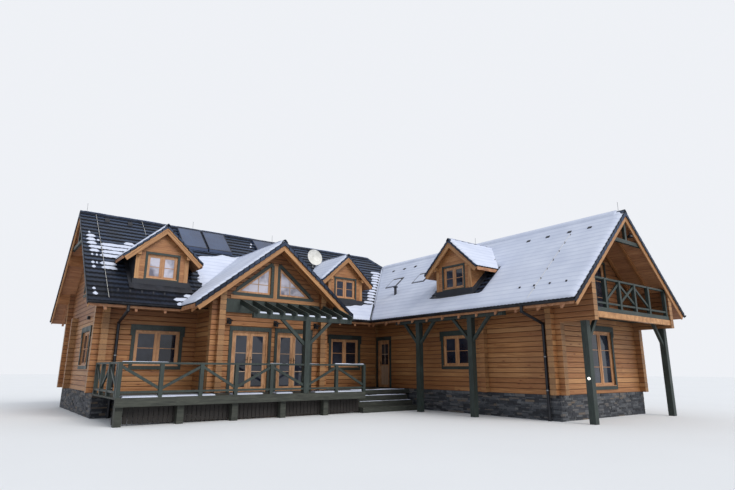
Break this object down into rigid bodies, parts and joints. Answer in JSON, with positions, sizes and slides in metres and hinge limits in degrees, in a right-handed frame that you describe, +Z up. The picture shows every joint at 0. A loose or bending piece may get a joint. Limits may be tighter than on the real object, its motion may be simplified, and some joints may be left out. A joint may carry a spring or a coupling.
{
  "type": "alpine log chalet",
  "caption": "Two-wing alpine log house with tiled gable roofs, dormers, gabled bay, terrace with pergola, porch and balcony.",
  "frame": {"origin": "middle of the plan at ground level, under the middle of the bounding box", "axes": "+X along the left wing towards the right wing, +Y from the terrace to the rear, +Z up"},
  "size_m": [18.89, 18.69, 8.0065],
  "materials": {
    "slate_stone": "split dark slate laid dry",
    "floor_boards": "planed boards",
    "log_timber": "honey stained squared logs with rounded edges",
    "soffit_boards": "stained boards under the eaves",
    "roof_tiles": "anthracite concrete tiles under thin snow",
    "planed_timber": "light stained planed timber",
    "dark_metal": "dark painted sheet",
    "window_timber": "varnished pale timber",
    "window_glass": "clear glass",
    "green_paint": "dark green stained timber",
    "collector_glass": "glass over dark absorber",
    "dish_paint": "pale grey paint",
    "bare_metal": "bare rod"
  },
  "bodies": {
    "house": {"plinth": "slate_stone", "ground_floor": "floor_boards", "loft_floor": "floor_boards", "front_wall_left": "log_timber", "front_wall_right": "log_timber", "left_gable_wall": "log_timber", "rear_wall": "log_timber", "outer_wall": "log_timber", "right_gable_wall": "log_timber", "inner_wall": "log_timber", "inner_wall_over_door": "log_timber", "bay_side_walls": "log_timber", "bay_piers": "log_timber", "bay_gable_wall": "log_timber", "balcony_side_walls": "log_timber", "roof_deck_left_wing": "soffit_boards", "roof_deck_right_wing": "soffit_boards", "roof_tiles_front": "roof_tiles", "roof_tiles_rear": "roof_tiles", "roof_tiles_inner": "roof_tiles", "roof_tiles_outer": "roof_tiles", "bay_roof_deck": "soffit_boards", "bay_roof_tiles": "roof_tiles", "dormer_roof_decks": "soffit_boards", "dormer_roof_tiles": "roof_tiles", "dormer_walls": "log_timber", "ridge_caps": "roof_tiles", "barge_boards": "planed_timber", "gutters": "dark_metal", "downpipes": "dark_metal", "window_frames": "window_timber", "window_glass": "window_glass", "window_trims": "green_paint", "door_frames": "window_timber", "terrace_floor": "green_paint", "terrace_frame": "green_paint", "terrace_rails": "green_paint", "landing": "green_paint", "pergola_frame": "green_paint", "pergola_rafters": "green_paint", "porch_frame": "green_paint", "balcony_floor": "green_paint", "balcony_beam": "planed_timber", "balcony_rail": "green_paint", "balcony_posts": "green_paint", "gable_collars": "green_paint", "solar_collectors": "collector_glass", "satellite_dish": "dish_paint", "skylights": "dark_metal", "lightning_rods": "bare_metal"},
    "terrace_door_1": {"french_leaf_1": "window_timber", "french_glass_1": "window_glass"},
    "terrace_door_2": {"french_leaf_2": "window_timber", "french_glass_2": "window_glass"},
    "terrace_door_3": {"french_leaf_3": "window_timber", "french_glass_3": "window_glass"},
    "terrace_door_4": {"french_leaf_4": "window_timber", "french_glass_4": "window_glass"},
    "entrance_door": {"entrance_leaf": "window_timber", "entrance_glass": "window_glass"}
  },
  "joints": [
    {"name": "terrace_door_1_hinge", "type": "hinge", "parent": "house", "child": "terrace_door_1", "pos_m": [-4.902, -0.267, 1.8], "axis": [0, 0, 1], "range_deg": [0, 90]},
    {"name": "terrace_door_2_hinge", "type": "hinge", "parent": "house", "child": "terrace_door_2", "pos_m": [-3.648, -0.267, 1.8], "axis": [0, 0, -1], "range_deg": [0, 90]},
    {"name": "terrace_door_3_hinge", "type": "hinge", "parent": "house", "child": "terrace_door_3", "pos_m": [-3.162, -0.267, 1.8], "axis": [0, 0, 1], "range_deg": [0, 90]},
    {"name": "terrace_door_4_hinge", "type": "hinge", "parent": "house", "child": "terrace_door_4", "pos_m": [-1.908, -0.267, 1.8], "axis": [0, 0, -1], "range_deg": [0, 90]},
    {"name": "entrance_door_hinge", "type": "hinge", "parent": "house", "child": "entrance_door", "pos_m": [3.043, 0.608, 1.8], "axis": [0, 0, -1], "range_deg": [0, 90]}
  ]
}
